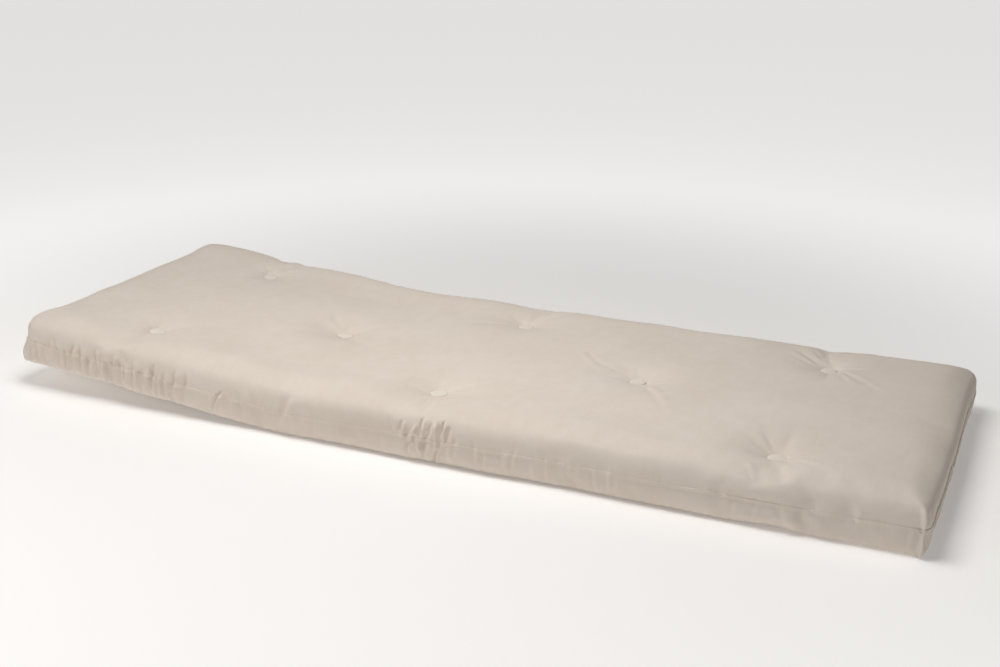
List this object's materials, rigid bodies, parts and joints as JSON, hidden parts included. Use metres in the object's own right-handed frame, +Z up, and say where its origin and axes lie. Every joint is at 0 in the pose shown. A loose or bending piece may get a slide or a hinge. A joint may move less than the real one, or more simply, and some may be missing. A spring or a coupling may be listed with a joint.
{
  "type": "futon mattress",
  "caption": "Tufted single futon mattress: boxed cotton case over layered wadding, folding on two lines across its length, head third lying slightly raised.",
  "frame": {"origin": "on the floor, under the middle of the mattress's whole outline", "axes": "+X along the length towards the foot end, +Y across towards the far long side, +Z up"},
  "size_m": [1.9058, 0.7024, 0.1561],
  "materials": {
    "cotton_drill_cover": "unbleached cotton drill, matt, natural cream with small flecks",
    "stitched_seam": "turned cotton edge with a row of cotton thread stitches, matt",
    "cotton_wadding": "soft off-white felted cotton, matt",
    "covered_button": "button covered in the case's cotton, matt",
    "cotton_twine": "twisted waxed cotton, slight sheen"
  },
  "bodies": {
    "middle": {"cover_bottom_middle": "cotton_drill_cover", "cover_top_middle": "cotton_drill_cover", "side_seam_middle_far": "stitched_seam", "side_seam_middle_near": "stitched_seam", "tuft_button_bottom_3_far": "covered_button", "tuft_button_bottom_3_near": "covered_button", "tuft_button_top_3_far": "covered_button", "tuft_button_top_3_near": "covered_button", "tuft_twine_3_far": "cotton_twine", "tuft_twine_3_near": "cotton_twine", "wadding_1_middle": "cotton_wadding", "wadding_2_middle": "cotton_wadding", "wadding_3_middle": "cotton_wadding", "wadding_4_middle": "cotton_wadding", "wadding_5_middle": "cotton_wadding"},
    "head": {"cover_bottom_head": "cotton_drill_cover", "cover_top_head": "cotton_drill_cover", "side_seam_head": "stitched_seam", "tuft_button_bottom_1_far": "covered_button", "tuft_button_bottom_1_near": "covered_button", "tuft_button_bottom_2_centre": "covered_button", "tuft_button_top_1_far": "covered_button", "tuft_button_top_1_near": "covered_button", "tuft_button_top_2_centre": "covered_button", "tuft_twine_1_far": "cotton_twine", "tuft_twine_1_near": "cotton_twine", "tuft_twine_2_centre": "cotton_twine", "wadding_1_head": "cotton_wadding", "wadding_2_head": "cotton_wadding", "wadding_3_head": "cotton_wadding", "wadding_4_head": "cotton_wadding", "wadding_5_head": "cotton_wadding"},
    "foot": {"cover_bottom_foot": "cotton_drill_cover", "cover_top_foot": "cotton_drill_cover", "side_seam_foot": "stitched_seam", "tuft_button_bottom_4_centre": "covered_button", "tuft_button_bottom_5_far": "covered_button", "tuft_button_bottom_5_near": "covered_button", "tuft_button_top_4_centre": "covered_button", "tuft_button_top_5_far": "covered_button", "tuft_button_top_5_near": "covered_button", "tuft_twine_4_centre": "cotton_twine", "tuft_twine_5_far": "cotton_twine", "tuft_twine_5_near": "cotton_twine", "wadding_1_foot": "cotton_wadding", "wadding_2_foot": "cotton_wadding", "wadding_3_foot": "cotton_wadding", "wadding_4_foot": "cotton_wadding", "wadding_5_foot": "cotton_wadding"}
  },
  "joints": [
    {"name": "head_fold", "type": "hinge", "parent": "middle", "child": "head", "pos_m": [-0.31493, 0, 0.106], "axis": [0, 1, 0], "range_deg": [-5.3, 74.7]},
    {"name": "foot_fold", "type": "hinge", "parent": "middle", "child": "foot", "pos_m": [0.31841, 0, 0.106], "axis": [0, -1, 0], "range_deg": [0, 180]}
  ]
}
